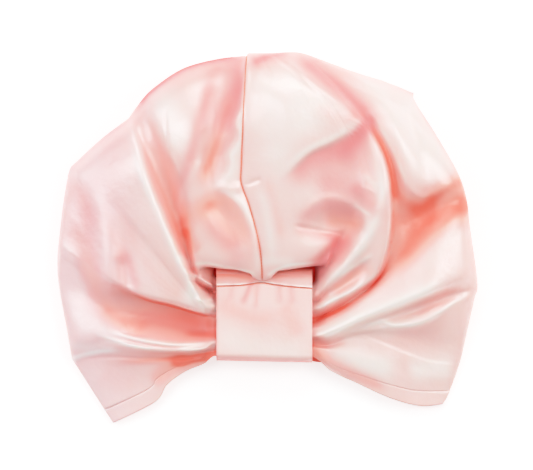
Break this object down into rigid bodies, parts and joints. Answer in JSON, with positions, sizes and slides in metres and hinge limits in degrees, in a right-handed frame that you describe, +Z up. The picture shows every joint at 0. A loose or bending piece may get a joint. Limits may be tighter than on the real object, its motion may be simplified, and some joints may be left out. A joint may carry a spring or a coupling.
{
  "type": "satin turban",
  "caption": "Pleated satin turban lying flat on its back, with a gathered front drawn through a flat cloth tab, a soft puffed crown and an open head hollow with a stitched hem.",
  "frame": {"origin": "on the surface it lies on, under the middle of its box", "axes": "+Z up out of the surface, so the front faces up; +Y from the hem's arch to the crown's top; +X to the right as seen from above"},
  "size_m": [0.3142, 0.277, 0.0696],
  "materials": {
    "crown_satin": "pink satin, soft gloss",
    "hem_satin": "pink satin turned up in a stitched hem, soft gloss",
    "tab_satin": "pink satin, smooth and pulled flat, soft gloss",
    "sewing_thread": "matte sewing thread, a deeper salmon than the cloth"
  },
  "bodies": {
    "root": {"crown_left": "crown_satin", "crown_right": "crown_satin", "hem_left": "hem_satin", "hem_right": "hem_satin", "front_tab": "tab_satin", "tab_strip": "tab_satin"}
  },
  "joints": []
}
